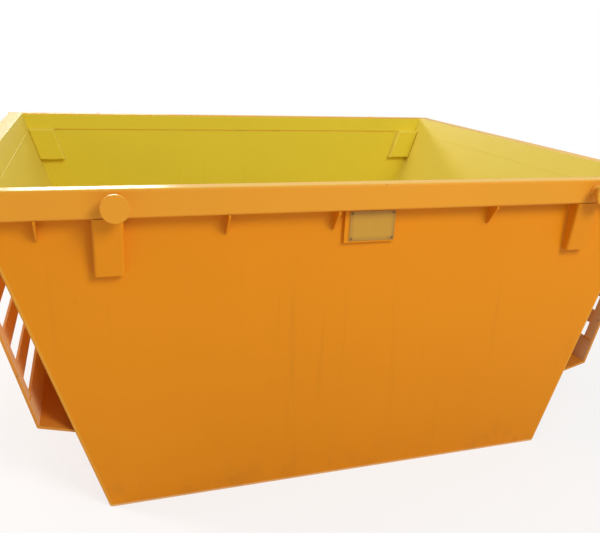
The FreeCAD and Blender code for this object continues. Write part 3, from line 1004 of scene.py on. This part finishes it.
class SKIPBIN_OT_dress_plate(SkipOperator, bpy.types.Operator):
    """Make the bare plate with its raised border, and its pulled rivets"""

    bl_idname = "skipbin.dress_plate"
    bl_label = "Dress plate"

    def execute(self, context):
        sizes = context.scene.skip_plate
        self.make_plate(sizes, context.scene.skip_paint.grime_colour)
        self.make_rivets(sizes)
        return {"FINISHED"}

    def make_plate(self, sizes, grime_colour):
        """Thin plate with round corners, a raised border and a slightly sunk field."""
        low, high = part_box("data_plate")
        size = high - low
        bm = bmesh.new()
        bmesh.ops.create_cube(bm, size=1.0)
        bmesh.ops.scale(bm, vec=size, verts=bm.verts)
        bmesh.ops.translate(bm, vec=(low + high) / 2, verts=bm.verts)
        corners = [e for e in bm.edges if abs(e.verts[0].co.y - e.verts[1].co.y) > size.y / 2]
        bmesh.ops.bevel(
            bm, geom=corners, offset=sizes.corner, offset_type="OFFSET", segments=CORNER_SIDES,
            profile=0.5, affect="EDGES", material=-1)
        front = min(bm.faces, key=lambda face: face.calc_center_median().y)
        steps = (
            (EDGE_STEP, -EDGE_STEP), (sizes.border, 0), (BORDER_SLOPE, sizes.border_height))
        for width, sunk in steps:
            bmesh.ops.inset_region(bm, faces=[front], thickness=width, use_even_offset=True)
            bmesh.ops.translate(bm, vec=(0, sunk, 0), verts=front.verts)
        bmesh.ops.recalc_face_normals(bm, faces=bm.faces)
        face = material_named("bare_plate", plate_finish, sizes, grime_colour)
        plate = as_piece("dressed_plate", bm, face, smooth=False)
        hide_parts("data_plate")

    def make_rivets(self, sizes):
        """Four pulled rivets: low domes with the broken pin in the middle."""
        low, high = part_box("plate_rivets")
        corners = [vertex.co.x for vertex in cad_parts["plate_rivets"].data.vertices]
        radius = (high.x - min(x for x in corners if x > (low.x + high.x) / 2)) / 2
        bm = bmesh.new()
        for x in (low.x + radius, high.x - radius):
            for z in (low.z + radius, high.z - radius):
                self.spin_rivet(bm, Vector((x, high.y, z)), radius, high.y - low.y)
        bmesh.ops.remove_doubles(bm, verts=bm.verts, dist=SAME_VERTEX)
        bmesh.ops.recalc_face_normals(bm, faces=bm.faces)
        metal = material_named("dull_rivet", rivet_finish, sizes)
        rivets = as_piece("pulled_rivets", bm, metal, smooth=True)
        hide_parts("plate_rivets")

    def spin_rivet(self, bm, centre, radius, height):
        """Spins one rivet's half section round its axis, which points along -Y."""
        section = [Vector((share * radius, -rise * height, 0)) for share, rise in RIVET_SECTION]
        verts = [bm.verts.new(centre + point) for point in section]
        edges = [bm.edges.new(pair) for pair in zip(verts, verts[1:])]
        bmesh.ops.spin(
            bm, geom=verts + edges, cent=centre, axis=(0, 1, 0), angle=2 * math.pi,
            steps=RIVET_SIDES, use_merge=True, use_duplicate=False)


# Each lamp's name, its place, the point it looks at, and its width and height.
LAMPS = (
    ("key", (-0.8, 5.8, 2.8), (0.1, 0.2, 0.8), (1.9, 0.9)),
    ("side", (-4.3, 0.9, 2.2), (0.5, 0.0, 0.6), (1.0, 1.0)),
    ("fill", (1.9, -4.7, 4.2), (0.0, 0.0, 0.5), (2.0, 2.0)),
)

# Width of the camera's sensor in millimetres.
SENSOR_WIDTH = 36


class SKIPBIN_OT_set_studio(SkipOperator, bpy.types.Operator):
    """Set the pale floor, the lamps, the white surroundings and the camera"""

    bl_idname = "skipbin.set_studio"
    bl_label = "Set studio"

    def execute(self, context):
        settings = context.scene.skip_studio
        context.scene.view_settings.view_transform = "Standard"
        self.make_floor(context, settings)
        self.make_sky(context, settings)
        for name, place, target, size in LAMPS:
            power = getattr(settings, name + "_power")
            self.make_lamp(context, name + "_lamp", place, target, size, power)
        self.make_camera(context, settings)
        return {"FINISHED"}

    def make_floor(self, context, settings):
        """Round floor under the bin."""
        bm = bmesh.new()
        bmesh.ops.create_circle(bm, cap_ends=True, segments=FLOOR_SIDES, radius=FLOOR_RADIUS)
        mesh = bpy.data.meshes.new("studio_floor")
        bm.to_mesh(mesh)
        bm.free()
        mesh.materials.append(floor_finish(settings))
        floor = bpy.data.objects.new("studio_floor", mesh)
        context.scene.collection.objects.link(floor)

    def make_sky(self, context, settings):
        """Even light all round, seen as white by the camera and in reflections."""
        world = bpy.data.worlds.new("pale_surroundings")
        context.scene.world = world
        sky = Shading(world, "ShaderNodeOutputWorld")
        camera, glossy, through = (
            sky.node("ShaderNodeLightPath", output="Is %s Ray" % kind)
            for kind in ("Camera", "Glossy", "Transmission"))
        seen = camera.math("MAXIMUM", glossy).math("MAXIMUM", through)
        light, white = (
            sky.node("ShaderNodeBackground", inputs={"Color": (1, 1, 1), "Strength": strength})
            for strength in (settings.sky_strength, 1.0))
        sky.close(sky.node("ShaderNodeMixShader", inputs={0: seen, 1: light, 2: white}))

    def make_lamp(self, context, name, place, target, size, power):
        """Soft lamp, as wide and high as its size says, that looks at a point."""
        lamp = bpy.data.lights.new(name, "AREA")
        lamp.shape = "RECTANGLE"
        lamp.size, lamp.size_y = size
        lamp.energy = power
        item = bpy.data.objects.new(name, lamp)
        item.location = place
        item.rotation_euler = (Vector(target) - Vector(place)).to_track_quat("-Z", "Y").to_euler()
        context.scene.collection.objects.link(item)

    def make_camera(self, context, settings):
        """Camera at the viewing place, for a frame of 600 by 533."""
        camera = bpy.data.cameras.new("view")
        camera.sensor_fit = "HORIZONTAL"
        camera.sensor_width = SENSOR_WIDTH
        camera.lens = settings.camera_lens
        item = bpy.data.objects.new("view", camera)
        turn = Matrix.Rotation(-settings.camera_heading, 4, "Z")
        turn = turn @ Matrix.Rotation(math.pi / 2 - settings.camera_tilt, 4, "X")
        turn = turn @ Matrix.Rotation(settings.camera_roll, 4, "Z")
        item.matrix_world = Matrix.Translation(settings.camera_place) @ turn
        context.scene.collection.objects.link(item)
        context.scene.camera = item


OPERATORS = (
    SKIPBIN_OT_paint_shell, SKIPBIN_OT_paint_lugs, SKIPBIN_OT_paint_racks,
    SKIPBIN_OT_weld_shell, SKIPBIN_OT_weld_lugs, SKIPBIN_OT_weld_gussets,
    SKIPBIN_OT_weld_racks, SKIPBIN_OT_weld_runners, SKIPBIN_OT_dress_plate,
    SKIPBIN_OT_set_studio)

SETTINGS = {
    "skip_paint": SkipPaintSettings,
    "skip_weld": SkipWeldSettings,
    "skip_plate": SkipPlateSettings,
    "skip_studio": SkipStudioSettings,
}


class SKIPBIN_PT_finish(bpy.types.Panel):
    """Panel of the bin's operators and settings"""

    bl_idname = "SKIPBIN_PT_finish"
    bl_label = "Skip bin"
    bl_space_type = "VIEW_3D"
    bl_region_type = "UI"
    bl_category = "Skip bin"

    def draw(self, context):
        for operator in OPERATORS:
            self.layout.operator(operator.bl_idname)
        for name, group in SETTINGS.items():
            box = self.layout.box()
            for setting in group.__annotations__:
                box.prop(getattr(context.scene, name), setting)


CLASSES = (*SETTINGS.values(), *OPERATORS, SKIPBIN_PT_finish)


def register():
    """Adds the classes and the scene's settings."""
    for item in CLASSES:
        bpy.utils.register_class(item)
    for name, group in SETTINGS.items():
        setattr(bpy.types.Scene, name, PointerProperty(type=group))


def unregister():
    """Takes the settings and the classes away again."""
    for name in SETTINGS:
        delattr(bpy.types.Scene, name)
    for item in reversed(CLASSES):
        bpy.utils.unregister_class(item)


def main():
    """Runs every operator in order."""
    register()
    for operator in OPERATORS:
        name = operator.bl_idname.split(".")[1]
        getattr(bpy.ops.skipbin, name)()


if __name__ == "__main__":
    main()
